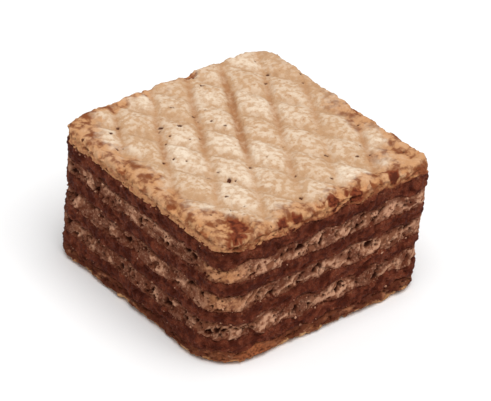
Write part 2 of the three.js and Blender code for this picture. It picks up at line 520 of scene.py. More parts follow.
def cocoa_rub_and_painted_shade(points, share, out, seed):
    """How much cocoa is rubbed on, with painted shade growing low down and on the left, and least at the
    front corner, as a painted highlight.
    """
    ragged = lumps(points, RUB_RAGGED, seed)
    smear = 1 - ease(*RUB_SMEAR, np.minimum(share, 1 - share) + ragged)
    # The lean is painted shade: the cut edge darkens towards the bottom and on the left side.
    lean = PAINTED_SHADE_TO_LEFT * out[:, 0] + PAINTED_SHADE_TO_BOTTOM * (points[:, 2] / heights[-1] - 0.5)
    patch = ease(*RUB_PATCH_RIM, grain(points, RUB_PATCH, seed + 2) + RUB_FRAY * ragged - lean)
    # Less at the front corner, which keeps a painted highlight.
    return np.maximum(smear, patch * (1 - near_front_corner(points)))


print("patches of cocoa are about", RUB_PATCH, "mm across")

# %% Make the inner wafer sheets
CRUMB_SIZES = {0.5: 0.09, 0.2: 0.06}
CLUMP_LIFT = 0.14
PORE_DEPTH = 0.5
HIGHLIGHT_HEIGHTS = (3.0, 8.5)
ON_EDGE = 0.01
SEEDS_APART = 10


def on_cut_edge(points, radii):
    """Which points of a true slab lie on its cut edge."""
    return np.abs(depth_inside(points, radii)) < ON_EDGE


def sawn_edge(flat, share, radii, seed, openness=1.0):
    """How the points of a true slab move along its cut edge, and the values to keep."""
    edge = on_cut_edge(flat, radii)
    points = flat[edge]
    out = way_out(points, radii)
    hollow, pale_and_highlight = opened_foam(points, share[edge], seed)
    hollow *= openness
    relief = lumps(points, CRUMB_SIZES, seed + 2) + CLUMP_LIFT * (pale_and_highlight - 0.5) - PORE_DEPTH * hollow
    moves = np.zeros_like(flat)
    moves[edge] = relief[:, None] * out
    values = {
        "hollow": hollow,
        "pale_and_highlight": pale_and_highlight,
        "rub_and_shade": cocoa_rub_and_painted_shade(points, share[edge], out, seed + 4),
        # A painted highlight on the cut edge near the front corner, stronger higher up.
        "highlight_and_toast": near_front_corner(points) * ease(*HIGHLIGHT_HEIGHTS, points[:, 2]),
    }
    return moves, {name: fill_in(edge, numbers) for name, numbers in values.items()}


def make_wafer(layer):
    """One inner wafer sheet, with its cut edge opened by the saw."""
    low, high = heights[layer], heights[layer + 1]
    sheet = cut_slab(f"wafer_sheet_{layer // 2 + 1}", low, high)
    flat = points_of(sheet)
    radii = radii_at((low + high) / 2)
    moves, values = sawn_edge(flat, share_up(flat, low, high), radii, SEEDS_APART * layer)
    move_points(sheet, settle(flat, layer) + moves)
    keep_values(sheet, values)
    report(sheet)
    return sheet


inner_wafers = {layer: make_wafer(layer) for layer in range(2, TOP_LAYER, 2)}

# %% [markdown]
# ## The cocoa cream
#
# The saw pulls the soft cream into a low, ragged smear that laps over the skins on either side, so each
# layer is cut a little thicker than its gap. A sculpting brush could drag it out, but four layers all
# round are long work, and a rule can be tuned. The rims tuck in and the middle swells out. One noise lets
# the band wander and grow thick and thin, another roughens its face, and here and there a bit was plucked
# out.

# %% Make the cream layers
CREAM_LAP = 0.34
CREAM_TUCK = 0.3
CREAM_SWELL = 0.4
SWELL_POWER = 3
SWELL_END = 1.2
SMEAR_STRETCH = np.array([1, 1, 1.6])
SMEAR_SIZES = {1.6: 0.12, 0.6: 0.17, 0.25: 0.11}
BAND_WANDER = {2.2: 0.2, 0.8: 0.2, 0.35: 0.12}
BAND_SPREAD = {1.1: 0.2}
PLUCKED_BIT = 0.5
PLUCK_WALL = (0.05, 0.35)
PLUCK_DRAWS = (0.7, 0.8)
PLUCK_DEPTH = 0.16


def smear_relief(points, share, seed):
    """How far the smeared face of a cream layer stands out, and how near a rim each point is."""
    wander = lumps(points, BAND_WANDER, seed, stride=0)
    across = np.abs(2 * share - 1 + wander) * (1 + lumps(points, BAND_SPREAD, seed + 1))
    relief = CREAM_SWELL * (1 - np.minimum(across, SWELL_END) ** SWELL_POWER) - CREAM_TUCK
    relief += lumps(points * SMEAR_STRETCH, SMEAR_SIZES, seed + 2)
    gaps, draws = foam(points, PLUCKED_BIT, seed + 5)
    relief -= PLUCK_DEPTH * ease(*PLUCK_WALL, gaps) * ease(*PLUCK_DRAWS, draws)
    return relief, across


def make_cream(layer):
    """One layer of cream, swelling out between two sheets."""
    low, high = heights[layer] - CREAM_LAP, heights[layer + 1] + CREAM_LAP
    cream = cut_slab(f"cream_layer_{(layer + 1) // 2}", low, high)
    flat = points_of(cream)
    radii = radii_at((low + high) / 2)
    edge = on_cut_edge(flat, radii)
    share = share_up(flat[edge], low, high)
    relief, across = smear_relief(flat[edge], share, SEEDS_APART * layer)
    points = settle(flat, layer)
    points[edge] += relief[:, None] * way_out(flat[edge], radii)
    move_points(cream, points)
    keep_values(cream, {"rim": fill_in(edge, across)})
    report(cream)
    return cream


creams = {layer: make_cream(layer) for layer in range(1, TOP_LAYER, 2)}

# %% [markdown]
# ## A pressed sheet
#
# The top and the bottom sheet show a whole broad face, so they start from a fine grid. Its border is
# pulled down or up as the cut edge and closed with a fan on the hidden side. Beveled corners would end the
# rows of the grid in slivers, so the points near each corner are drawn into a quarter circle instead,
# which keeps the rows even.

# %% Cut a pressed sheet
FACE_STEP = 0.1


def round_corners(points, radii):
    """Draws the square corners of a grid into quarter circles."""
    over, radius = past_arc(points, radii)
    over = np.maximum(over, 0) / radius
    in_corner = np.all(over > 0, axis=0)
    drawn = HALF_SIDE - radius + radius * over * np.sqrt(1 - over[::-1] ** 2 / 2)
    rounded = points.copy()
    rounded[in_corner, :2] = (np.sign(points[:, :2].T) * drawn).T[in_corner]
    return rounded


def pressed_sheet(name, face, rim):
    """A sheet with a fine broad face at one height and its cut edge down or up to another."""
    clear_selection()
    cells = round(SHEET_SIDE / FACE_STEP)
    bpy.ops.mesh.primitive_grid_add(
        x_subdivisions=cells, y_subdivisions=cells, size=SHEET_SIDE * MM, location=(0, 0, face * MM)
    )
    sheet = start_piece(name)
    pick(sheet, "EDGE", lambda edge: edge.is_boundary)
    drop = (rim - face) * MM
    bpy.ops.mesh.extrude_edges_move(TRANSFORM_OT_translate={"value": (0, 0, drop)})
    divide_rows(sheet, abs(drop), FACE_STEP * MM)
    pick(sheet, "EDGE", lambda edge: edge.is_boundary)
    bpy.ops.mesh.edge_face_add()
    bpy.ops.mesh.poke()
    close_piece(sheet)
    move_points(sheet, round_corners(points_of(sheet), radii_at(face)))
    return sheet


print("a broad face has", round(SHEET_SIDE / FACE_STEP), "rows of cells")

# %% [markdown]
# ## The lattice on top
#
# The baking plate leaves two sets of slanting grooves, one deeper than the other, with pale diamond pads
# between them. Edges along the lines could be pulled down, but real grooves are soft and uneven, so they
# are a rule over the fine grid: the depth falls off smoothly with the distance from the nearest groove.
# The grooves are deepest behind the middle of the sheet, and slow noise lets them wander, fade and break
# off. Each pad is crowned a little.

# %% The rule of one groove
GROOVE_SHARES = (0.85, 1.15)
GROOVE_TOPIC = 6


def groove_profile(count, width):
    """1 on a groove's line, falling off to 0 at about its width."""
    off = (count - np.round(count)) * GROOVE_PITCH
    return np.exp(-(off / width) ** 2)


def groove_press(grooves, count):
    """How deep a set of grooves is pressed at each point."""
    order = np.round(count).astype(int)
    shares = np.array([draw(*GROOVE_SHARES, GROOVE_TOPIC, grooves["side"], one) for one in order])
    return grooves["depth"] * shares * groove_profile(count, grooves["width"])


print("grooves are", DEEP_GROOVES["depth"], "and", THIN_GROOVES["depth"], "mm deep")

# %% The rule of the lattice
LINE_WANDER = {4.0: 0.14, 0.6: 0.09, 0.25: 0.05}
DEEPEST_AT = (1.5, 4.0)
DEEPEST_REACH = 8.0
STRENGTH_AWAY = 0.6
STRENGTH_WAVER = {4.5: 0.35}
STRENGTH_LIMITS = (0.3, 1.1)
BREAK_PATCH = 1.6
BREAK_RIM = (-0.4, 0.2)
BROKEN_STRENGTH = 0.5
PAD_CROWN = 0.16
CROWN_POWER = 0.6
PAD_TOPIC = 8


def pressed_lattice(level, seed):
    """The depth of the lattice, how far into a deep and a thin line each point is, and its pad's draw."""
    wander = lumps(level, LINE_WANDER, seed, stride=0) / GROOVE_PITCH
    deep_count = lattice_count(DEEP_GROOVES, level) + wander
    thin_count = lattice_count(THIN_GROOVES, level) - wander
    near_deepest = np.exp(-(distance(level, DEEPEST_AT) / DEEPEST_REACH) ** 2)
    strength = from_least(STRENGTH_AWAY, near_deepest) + lumps(level, STRENGTH_WAVER, seed + 1)
    unbroken = from_least(BROKEN_STRENGTH, ease(*BREAK_RIM, grain(level, BREAK_PATCH, seed + 2)))
    deep = np.clip(strength, *STRENGTH_LIMITS) * groove_press(DEEP_GROOVES, deep_count)
    thin = unbroken * groove_press(THIN_GROOVES, thin_count)
    crown = np.abs(np.sin(np.pi * deep_count) * np.sin(np.pi * thin_count)) ** CROWN_POWER
    depth = np.hypot(deep, thin) + PAD_CROWN * (1 - crown)
    pads = zip(np.floor(deep_count).astype(int), np.floor(thin_count).astype(int))
    pad = np.array([draw(0, 1, PAD_TOPIC, one, other) for one, other in pads])
    return depth, deep / DEEP_GROOVES["depth"], thin / THIN_GROOVES["depth"], pad


print("the deepest grooves are near", DEEPEST_AT, "mm")

# %% [markdown]
# ## Worn edges, chips and pinholes
#
# The rim of a sheet is rounded and ragged, with small bites all along it and larger chips where the packed
# model has them. A Bevel modifier would round the rim too evenly, so the face falls away near it by an
# amount that noise makes ragged. The face also has pinholes where steam came through. They are strewn at
# random with a fixed seed, every third one near a groove, where the crust is thinnest, and a few large
# ones have their place.

# %% Rules for worn rims and chips
EDGE_ROUNDING = 0.45
ROUNDING_START = 0.1
RIM_RAGGED = {0.9: 0.26, 0.35: 0.16}
BITE_DEPTH = 0.5
BITE_SIZES = {1.3: 0.7, 0.45: 0.45}
BITE_LEAST = 0.06
BITE_FADE = 0.42
BITE_RIM = (0.0, 0.12)
WHOLE_BACK = 0.35
CHIPS = [
    ((-8.9, -10.1), (1.5, 1.9, 0.4)),
    ((-4.2, -11.9), (1.0, 0.7, 0.5)),
    ((1.6, -11.6), (0.9, 0.8, 0.55)),
    ((5.4, -11.8), (0.8, 0.6, 0.45)),
    ((-11.8, 2.5), (0.6, 1.0, 0.45)),
    ((-11.7, -4.6), (0.6, 0.8, 0.5)),
    ((11.8, -2.0), (0.6, 1.2, 0.5)),
    ((2.8, 11.7), (1.1, 0.6, 0.5)),
]
CHIP_RAGGED = {0.9: 0.5, 0.4: 0.3}
CHIP_RAGGED_END = (1.2, 2.0)
CHIP_RIM = (0.0, 0.7)


def edge_drop(level, radii, seed):
    """How far a face falls away towards its rim, unevenly."""
    inside = depth_inside(level, radii) + lumps(level, RIM_RAGGED, seed)
    share = np.clip(1 - (inside - ROUNDING_START) / EDGE_ROUNDING, 0, 1)
    return EDGE_ROUNDING * (1 - np.sqrt(1 - share ** 2))


def rim_bites(level, radii, seed):
    """How far each point is in a small bite out of the rim. The back rim has fewer."""
    crumbling = lumps(level, BITE_SIZES, seed) - WHOLE_BACK * ease(0, HALF_SIDE, level[:, 1])
    return ease(*BITE_RIM, crumbling - BITE_LEAST - BITE_FADE * depth_inside(level, radii))


def chip_depth(level, seed):
    """How deep the chips are at each point."""
    depth = np.zeros(len(level))
    ragged = lumps(level, CHIP_RAGGED, seed)
    for middle, (half_x, half_y, half_z) in CHIPS:
        spread = np.sum(((level[:, :2] - middle) / (half_x, half_y)) ** 2, axis=1)
        near = 1 - spread + ragged * (1 - ease(*CHIP_RAGGED_END, spread))
        depth = np.maximum(depth, half_z * ease(*CHIP_RIM, near))
    return depth


print(len(CHIPS), "chips")

# %% Rules for pinholes
PINHOLE_RADII = (0.06, 0.17)
PINHOLE_RAGGED = {0.25: 0.7}
PINHOLE_RIM = (0.4, 1.4)
GROOVE_TURN = 3
NEAR_GROOVE = 0.9
LARGE_PINHOLES = [
    (-4.9, -4.0, 0.24),
    (-6.2, -2.6, 0.2),
    (-4.7, 6.1, 0.24),
    (-3.2, 5.2, 0.24),
    (2.9, 11.2, 0.26),
    (2.7, 9.5, 0.24),
]


def mostly_small(dice, low, high, count=None):
    """Random sizes between two values, most of them near the lower one."""
    return low + (high - low) * dice.uniform(0, 1, count) ** 2


def strewn_pinholes(seed, count):
    """Random places and radii of pinholes, every third one near a deep groove."""
    dice = np.random.default_rng(seed)
    places = dice.uniform(-HALF_SIDE, HALF_SIDE, (count, 2))
    radii = mostly_small(dice, *PINHOLE_RADII, count)
    lines = lattice_count(DEEP_GROOVES, places[::GROOVE_TURN])
    off_line = GROOVE_PITCH * (lines - np.round(lines))
    places[::GROOVE_TURN] -= NEAR_GROOVE * off_line[:, None] * way_across(DEEP_GROOVES)
    return np.column_stack([places, radii])


def pinhole_depth(points, holes, seed):
    """How deep the pinholes are, from 0 to 1. Small ones are shallow."""
    depth = np.zeros(len(points))
    ragged = 1 + lumps(points, PINHOLE_RAGGED, seed)
    for middle_x, middle_y, radius in holes:
        off = ragged * distance(points, (middle_x, middle_y, 0)) / radius
        deepest = min(radius / PINHOLE_RADII[1], 1)
        depth = np.maximum(depth, deepest * (1 - ease(*PINHOLE_RIM, off)))
    return depth


print(len(LARGE_PINHOLES), "large pinholes")

# %% [markdown]
# ## Where the crust is toasted and burnt
#
# Towards the rims and corners, where the plate was hotter, the crust turns golden brown in ragged patches.
# Only the back corner stays pale. At the front corner and along the front rim, spots are burnt red-brown.
# All this could be painted on an image, but a rule needs no file and no unwrapping, and the burnt spots
# can sink by it too. The rules take points measured from the face, so a burnt spot at the rim ends a
# little way down the edge.

# %% Rules for toast
FRONT, RIGHT, BACK, LEFT = (0, -1), (1, 0), (0, 1), (-1, 0)
TOAST_REACH = {FRONT: 2.3, RIGHT: 2.7, BACK: 1.4, LEFT: 2.8}
TOAST_FULL = 0.3
TOAST_CORNERS = [((-11.5, 11.0), 4.2), ((11.5, -10.5), 4.6), ((-10.5, -10.5), 3.6)]
CORNER_FULL = 0.5
TOAST_WAVER = {2.6: 1.5, 0.9: 0.9, 0.35: 0.4}
PALE_CORNER = (12.0, 12.0)
PALE_REACH = (8.0, 14.0)
PALE_TOAST = 0.12


def toast_share(points, seed):
    """How toasted the face is: in ragged patches along its rims, least at the back corner."""
    waver = lumps(points, TOAST_WAVER, seed)
    toast = np.zeros(len(points))
    for side, reach in TOAST_REACH.items():
        gap = HALF_SIDE - points[:, :2] @ side
        toast = np.maximum(toast, 1 - ease(TOAST_FULL * reach, reach, gap + waver))
    for middle, reach in TOAST_CORNERS:
        off = distance(points, middle)
        toast = np.maximum(toast, 1 - ease(CORNER_FULL * reach, reach, off + waver))
    off_pale = distance(points, PALE_CORNER)
    return toast * from_least(PALE_TOAST, ease(*PALE_REACH, off_pale + waver))


print("toast reaches", max(TOAST_REACH.values()), "mm in from a rim at most")

# %% Rules for burns
BURNS = [
    ((-8.7, -9.7), 1.5),
    ((-9.8, -11.2), 1.4),
    ((-5.4, -11.9), 0.9),
    ((-3.9, -12.0), 0.8),
    ((0.4, -11.7), 1.0),
    ((2.9, -12.0), 1.2),
    ((7.4, -11.7), 0.9),
]
BURN_RAGGED = {1.1: 0.5, 0.45: 0.45, 0.22: 0.3}
BURN_RAGGED_END = (1.0, 1.7)
BURN_RIM = (-0.1, 0.9)
FRINGE_REACH = 0.9
FRINGE_RIM = (0.6, 1.4)
FRINGE_BURN = 0.5


def burn_share(points, seed):
    """How burnt the face is: in a fringe along the front rim and in ragged spots."""
    ragged = lumps(points, BURN_RAGGED, seed)
    to_rim = (HALF_SIDE + points[:, 1]) / FRINGE_REACH
    burn = FRINGE_BURN * ease(*FRINGE_RIM, 1 - to_rim + ragged)
    for (middle_x, middle_y), radius in BURNS:
        off = distance(points, (middle_x, middle_y, 0)) / radius
        near = 1 - off + ragged * (1 - ease(*BURN_RAGGED_END, off))
        burn = np.maximum(burn, ease(*BURN_RIM, near))
    return burn


print(len(BURNS), "burnt spots")

# %% [markdown]
# ## The top sheet
#
# All these rules meet here. The face sinks by the lattice, the wear, the chips and the pinholes, and the
# cut edge follows it down, so a groove that runs out at the edge shows there as a notch. Each rule could
# move the points by itself, but worked out together, they can be held back where they would cut through
# the sheet. The values that the material reads stay with the points.

# %% Press the top sheet
TOP_SEED = 300
PINHOLE_COUNT = 140
PINHOLE_SEED = 41
PINHOLE_DROP = 0.24
BURN_DROP = 0.14
SKIN_GRAIN = {1.1: 0.03, 0.45: 0.035, 0.22: 0.03}
SKIN_LIFT = 0.02
LEAST_LEFT = 0.25
RIM_PRESS = 0.25
RIM_FADE = 2.2

low, high = heights[TOP_LAYER], heights[TOP_LAYER + 1]
top_sheet = pressed_sheet("lattice_sheet", high, low)
flat = points_of(top_sheet)
level = flat * (1, 1, 0)
below = flat - (0, 0, high)
radii = radii_at(high)
share = share_up(flat, low, high)

lattice, in_deep, in_thin, pad = pressed_lattice(level, TOP_SEED)
lattice *= from_least(RIM_PRESS, ease(0, RIM_FADE, depth_inside(level, radii)))
holes = np.vstack([strewn_pinholes(PINHOLE_SEED, PINHOLE_COUNT), LARGE_PINHOLES])
pinholes = pinhole_depth(below, holes, TOP_SEED + 20)
chips = chip_depth(level, TOP_SEED + 3)
bites = rim_bites(level, radii, TOP_SEED + 5)
skin = lumps(level, SKIN_GRAIN, TOP_SEED + 7, stride=0)
burn = burn_share(below, TOP_SEED + 18)
fall = lattice + edge_drop(level, radii, TOP_SEED + 8) + PINHOLE_DROP * pinholes + BURN_DROP * burn
fall = np.maximum(np.maximum(fall, chips), BITE_DEPTH * bites) + skin + SKIN_LIFT
fall = np.clip(fall, 0, high - low - LEAST_LEFT)
print("the top sinks by up to", fall.max().round(2), "mm")

# %% Cut its edge and keep its values
TOP_OPENNESS = 0.6
PAINTED_HIGHLIGHT_LEFT = (0.8, 1.0)
CHIP_BROKEN = 0.4
TOP_CUT = (0.5, 0.9)

moves, values = sawn_edge(flat, share, radii, TOP_SEED + 10, TOP_OPENNESS)
# Painted highlight: the left end of the rim loses its cocoa and painted shade, so it stays light.
values["rub_and_shade"] *= 1 - ease(*PAINTED_HIGHLIGHT_LEFT, -flat[:, 0] / HALF_SIDE)
points = settle(flat, TOP_LAYER) + moves
points[:, 2] -= share * fall
move_points(top_sheet, points)
values |= {
    "groove": np.clip(in_deep, 0, 1),
    "thin": np.clip(in_thin, 0, 1),
    "pad": pad,
    "toast": toast_share(below, TOP_SEED + 15),
    "burn": burn,
    "pinhole": pinholes,
    "broken": np.clip(np.maximum(chips / CHIP_BROKEN, bites), 0, 1),
    "cut": 1 - ease(*TOP_CUT, share),
}
keep_values(top_sheet, values)
report(top_sheet)

# %% [markdown]
# ## The underside
#
# The lowest sheet lies the other way up: its broad face is the smooth, golden one that the block rests on.
# It could be a plain slab, because it is seldom seen, but its rim shows all round. It has only faint
# lines, because the lattice is on its inner face, and a few pinholes. Its relief only ever goes inwards,
# so the block still stands level. Here and there its skin has come off along the rim.

# %% Press the bottom sheet
BASE_SEED = 500
FAINT_LINE = 0.05
FAINT_LINE_WIDTH = 0.22
BASE_GRAIN = 0.6
BASE_GRAIN_HEIGHT = 0.015
BASE_PINHOLE_DROP = 0.2

low, high = heights[0], heights[1]
base_sheet = pressed_sheet("golden_sheet", low, high)
flat = points_of(base_sheet)
level = flat * (1, 1, 0)
above = flat - (0, 0, low)
radii = radii_at(low)
share = share_up(flat, high, low)

lines = np.zeros(len(flat))
for grooves in LATTICE:
    lines = np.maximum(lines, groove_profile(lattice_count(grooves, flat), FAINT_LINE_WIDTH))
holes = strewn_pinholes(BASE_SEED, PINHOLE_COUNT // 2)
pinholes = pinhole_depth(above, holes, BASE_SEED + 12)
bites = rim_bites(level, radii, BASE_SEED + 1)
skin = BASE_GRAIN_HEIGHT * (1 + grain(level, BASE_GRAIN, BASE_SEED + 3))
rise = FAINT_LINE * lines + edge_drop(level, radii, BASE_SEED + 4) + BASE_PINHOLE_DROP * pinholes
rise = np.maximum(rise, BITE_DEPTH * bites) + skin
print("the underside rises by up to", rise.max().round(2), "mm")

# %% Cut its edge too
BASE_OPENNESS = 0.8
BASE_SKIN = (0.82, 0.96)
SKIN_FRAY = {0.6: 0.12}
PEEL_REACH = 0.5
PEEL_PATCH = 1.3
PEEL_RIM = (-0.25, 0.1)
BASE_TOAST_AT = (-7.6, -11.9)
BASE_TOAST_REACH = 2.2

moves, values = sawn_edge(flat, share, radii, BASE_SEED + 7, BASE_OPENNESS)
points = settle(flat, 0) + moves
points[:, 2] += share * rise
move_points(base_sheet, points)
above_skin = 1 - ease(*BASE_SKIN, share + lumps(flat, SKIN_FRAY, BASE_SEED + 14))
peeled = ease(*PEEL_RIM, grain(level, PEEL_PATCH, BASE_SEED + 15))
peeled *= 1 - ease(0, PEEL_REACH, depth_inside(flat, radii))
values |= {
    "groove": lines,
    "pinhole": pinholes,
    "cut": np.maximum(np.maximum(above_skin, peeled), bites),
    # On the bottom sheet this value is orange toast right of the front corner.
    "highlight_and_toast": np.exp(-distance(flat, BASE_TOAST_AT) / BASE_TOAST_REACH),
}
keep_values(base_sheet, values)
report(base_sheet)

# %% [markdown]
# ## Crumbs
#
# Small crumbs of wafer stick to the cut sides, most of them where the cream meets a sheet: rough flakes of
# a tenth to a third of a millimetre. A particle system could strew them, but with less say over where they
# stick. So one pebble is modelled, and its copies, each turned, flattened and dented by its own draws, are
# joined into one mesh, half sunk where they stick. An operator may number points differently from run to
# run, so the places are sorted before the draw.

# %% Model one crumb
clear_selection()
bpy.ops.mesh.primitive_ico_sphere_add(subdivisions=2, radius=MM)
model = bpy.context.object
pebble = points_of(model)
corners = np.empty(3 * len(model.data.polygons), dtype=int)
model.data.loops.foreach_get("vertex_index", corners)
corners = corners.reshape(-1, 3)
bpy.data.objects.remove(model)
print("a crumb has", len(corners), "triangles")

# %% Draw the places where crumbs stick
CRUMB_COUNT = 1100
CRUMB_SEED = 77
SIDE_DEPTH = 1.5
CREAM_MIDDLE = 0.3
PLACE_DIGITS = 4

spots = []
for layer, piece in [*inner_wafers.items(), *creams.items()]:
    points = points_of(piece)
    share = share_up(points, heights[layer], heights[layer + 1])
    at_side = np.max(np.abs(points[:, :2]), axis=1) > HALF_SIDE - SIDE_DEPTH
    at_rim = np.abs(share - 0.5) > (CREAM_MIDDLE if layer in creams else 0)
    spots.append(points[at_side & at_rim])
spots = np.vstack(spots)
spots = spots[np.lexsort(np.round(spots, PLACE_DIGITS).T)]
dice = np.random.default_rng(CRUMB_SEED)
places = spots[dice.integers(0, len(spots), CRUMB_COUNT)]
print(len(places), "places for crumbs")

# %% Strew the crumbs
CRUMB_HALF_SIZES = (0.04, 0.16)
CRUMB_STRETCH = (0.35, 1.2)
CRUMB_DENTS = (0.7, 1.2)

crumb_points, crumb_faces = [], []
for order, place in enumerate(places):
    sizes = mostly_small(dice, *CRUMB_HALF_SIZES) * dice.uniform(*CRUMB_STRETCH, 3)
    dents = dice.uniform(*CRUMB_DENTS, (len(pebble), 1))
    turn = np.linalg.qr(dice.normal(size=(3, 3)))[0]
    turn *= np.sign(np.linalg.det(turn))
    crumb_points.append(place + (pebble * dents * sizes) @ turn.T)
    crumb_faces.append(corners + order * len(pebble))
mesh = bpy.data.meshes.new("wafer_crumbs")
mesh.from_pydata(np.vstack(crumb_points) * MM, [], np.vstack(crumb_faces).tolist())
crumbs = bpy.data.objects.new("wafer_crumbs", mesh)
bpy.context.collection.objects.link(crumbs)
report(crumbs)

# %% [markdown]
# ## Writing shader maths as Python
#
# A material is a tree of nodes, easy to wire by hand but hard to read in a script. So a small class wraps
# a node's output, and adding or multiplying two of them adds the Math node that does it. One method adds
# any other node: its settings come first, then the values or links of its sockets.

# %% The class for shader maths


class Shade:
    """One output of a material's node tree."""

    def __init__(self, tree, socket=None):
        self.tree = tree
        self.socket = socket

    def add(self, kind, settings=None, inputs=None, output=0):
        """Adds a node, sets it up, fills its sockets and gives one of its outputs."""
        node = self.tree.nodes.new(kind)
        for name, value in (settings or {}).items():
            setattr(node, name, value)
        for place, value in (inputs or {}).items():
            if isinstance(value, Shade):
                self.tree.links.new(value.socket, node.inputs[place])
            else:
                node.inputs[place].default_value = value
        return Shade(self.tree, node.outputs[output])

    def maths(self, operation, first, second):
        """Adds the Math node of one operation."""
        return self.add("ShaderNodeMath", {"operation": operation}, {0: first, 1: second})

    def __add__(self, other):
        return self.maths("ADD", self, other)

    def __sub__(self, other):
        return self.maths("SUBTRACT", self, other)

    def __rsub__(self, other):
        return self.maths("SUBTRACT", other, self)

    def __mul__(self, other):
        return self.maths("MULTIPLY", self, other)

    __radd__ = __add__
    __rmul__ = __mul__

    def step(self, low, high):
        """A smooth step from 0 to 1 between two values."""
        inputs = {"Value": self, "From Min": low, "From Max": high}
        return self.add("ShaderNodeMapRange", {"interpolation_type": "SMOOTHSTEP"}, inputs)

    def blend(self, first, second):
        """Goes from one colour to another as this value goes from 0 to 1."""
        return self.add("ShaderNodeMix", {"data_type": "RGBA"}, {0: self, 6: first, 7: second}, 2)


print("shader maths ready")

# %% [markdown]
# ## What every finish shares
#
# A finish is a ground colour with coats of other colours over it, each with a mask that says how much of
# it lies where. The masks come from noise, sized in millimetres, and from the values kept with the points.
# Each finish could be wired by itself, but shared tools keep them alike: in all of them, one fine noise
# varies both the roughness and the relief.

# %% Colours, noise and kept values for a material
SPECKLE_ROUGHNESS = 0.55


def tint(*display_values):
    """A colour given as display values from 0 to 255, for a shader."""
    parts = [part / 255 for part in display_values]
    return (*[part / 12.92 if part < 0.04045 else ((part + 0.055) / 1.055) ** 2.4 for part in parts], 1)


def new_finish(name):
    """A new material, and the object's place in millimetres in its node tree."""
    material = bpy.data.materials.new(name)
    material.use_nodes = True
    place = Shade(material.node_tree).add("ShaderNodeTexCoord", output="Object")
    return material, place.add("ShaderNodeVectorMath", {"operation": "SCALE"}, {0: place, "Scale": 1 / MM})


def speckle(place, size, detail=3.0):
    """Noise from 0 to 1 with blotches of that size in millimetres."""
    inputs = {"Vector": place, "Scale": 1 / size, "Detail": detail, "Roughness": SPECKLE_ROUGHNESS}
    return place.add("ShaderNodeTexNoise", None, inputs)


def kept(place, name):
    """A value that was kept with the points of a mesh."""
    return place.add("ShaderNodeAttribute", {"attribute_name": name}, output="Fac")


print("a mid brown in a shader:", np.round(tint(128, 84, 67), 3))

# %% Coats and surfaces


def paint(colour, *coats):
    """Lays coats over a ground colour one by one. A coat is a mask and its own colour."""
    for mask, coat in coats:
        colour = mask.blend(colour, coat)
    return colour


def finish_surface(material, colour, fine, smoothest, bump, spread=0.2, gloss=0.12):
    """Gives a material its colour and gloss, and roughness and relief by its fine noise."""
    surface = material.node_tree.nodes["Principled BSDF"]
    surface.inputs["Specular IOR Level"].default_value = gloss
    links = {
        "Base Color": colour,
        "Roughness": fine * spread + smoothest,
        "Normal": fine.add("ShaderNodeBump", None, {"Height": fine, "Distance": bump * MM}),
    }
    for name, value in links.items():
        material.node_tree.links.new(value.socket, surface.inputs[name])
    print("finish:", material.name)
    return material


print("coats and surfaces ready")

# %% [markdown]
# ## The finish of a cut wafer
#
# Seen from the side, a wafer is pale where clumps of crumb stand out. The walls between its bubbles get a
# painted highlight, and the hollows get painted shade. The saw has rubbed cocoa over much of it, and that
# coat carries painted shade too. A noise texture alone could mottle it, but its dark spots would miss the
# pores. So the colour goes by the values kept with the mesh, broken up by fine noise.

# %% Cut wafer
CUT_PALE = tint(200, 150, 120)
CUT_BROWN = tint(134, 84, 60)
PORE_SHADE = tint(68, 33, 22)
CUT_HIGHLIGHT_AND_TOAST = tint(198, 138, 92)
COCOA_AND_SHADE = tint(96, 46, 29)


def cut_colour(place):
    """The colour of a cut edge, with its painted highlights and painted shade, and its fine noise."""
    fine = speckle(place, size=0.2)
    mottle = speckle(place, size=0.45)
    # The pale mask holds pale clumps of crumb and the painted highlight on the bubble walls.
    pale_and_highlight = kept(place, "pale_and_highlight") * mottle.step(0.3, 0.58) + fine.step(0.56, 0.72) * 0.35
    colour = paint(
        pale_and_highlight.step(0.05, 0.9).blend(CUT_BROWN, CUT_PALE),
        # A painted highlight near the front corner. On the bottom sheet the same coat is orange toast.
        (kept(place, "highlight_and_toast") * mottle.step(0.3, 0.55), CUT_HIGHLIGHT_AND_TOAST),
        # Cocoa rubbed on, with painted shade low down and on the left.
        (kept(place, "rub_and_shade") * fine.step(0.2, 0.5) * 0.85, COCOA_AND_SHADE),
        # Painted shade darkens the open pores.
        (kept(place, "hollow").step(0.1, 0.6), PORE_SHADE),
    )
    return colour, fine


material, place = new_finish("cut_wafer")
cut_finish = finish_surface(material, *cut_colour(place), smoothest=0.75, bump=0.12, gloss=0.06)

# %% [markdown]
# ## The finish of the cream
#
# Set cocoa cream is dark and even, with a low satin gloss where it was smeared smooth. Pale dust and crumb
# from the saw lie on it, most along its rims. The dust could be loose crumbs too, but it is finer than
# they are, so it is a mask of fine noise that grows denser towards the rims.

# %% Cocoa cream
CREAM_DARK = tint(71, 25, 11)
CREAM_LIGHT = tint(109, 51, 32)
CREAM_DUST = tint(150, 96, 68)

material, place = new_finish("smeared_cream")
blotch = speckle(place, size=0.9, detail=4.0)
fine = speckle(place, size=0.2)
near_rim = kept(place, "rim").step(0.3, 0.9)
dust = fine.step(0.5, 0.68) * (near_rim * 0.6 + blotch.step(0.45, 0.65) * 0.4)
colour = paint(blotch.step(0.38, 0.66).blend(CREAM_DARK, CREAM_LIGHT), (dust, CREAM_DUST))
cream_finish = finish_surface(material, colour, fine, smoothest=0.5, spread=0.3, bump=0.18, gloss=0.08)

